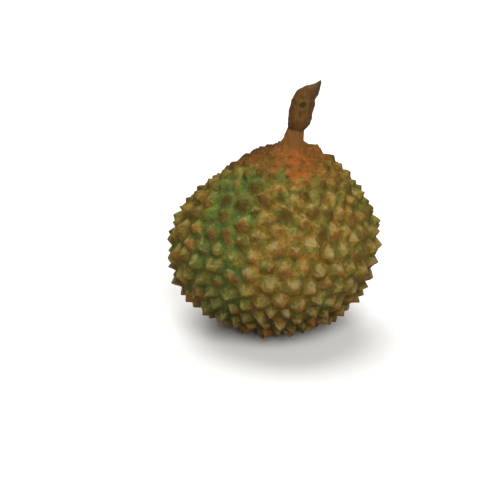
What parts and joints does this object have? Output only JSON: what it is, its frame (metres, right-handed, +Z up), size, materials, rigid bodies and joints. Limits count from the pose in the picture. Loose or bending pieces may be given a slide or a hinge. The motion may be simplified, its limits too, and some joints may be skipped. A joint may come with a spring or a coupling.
{
  "type": "durian",
  "caption": "Whole round durian as picked, covered in short broad pyramidal spines, with its thick cut stalk, standing on its blunt end.",
  "frame": {"origin": "centre of the worn flat on the lowest spine, the one at the middle of the blunt end that the fruit stands on", "axes": "+Z up, towards the crown and the stalk; +X the way that the stalk leans; +Y away from the side with the bud scar on the stalk"},
  "size_m": [0.1641, 0.1608, 0.1987],
  "materials": {
    "husk": "matte",
    "stalk": "matte"
  },
  "bodies": {
    "root": {"husk": "husk", "stalk": "stalk"}
  },
  "joints": []
}
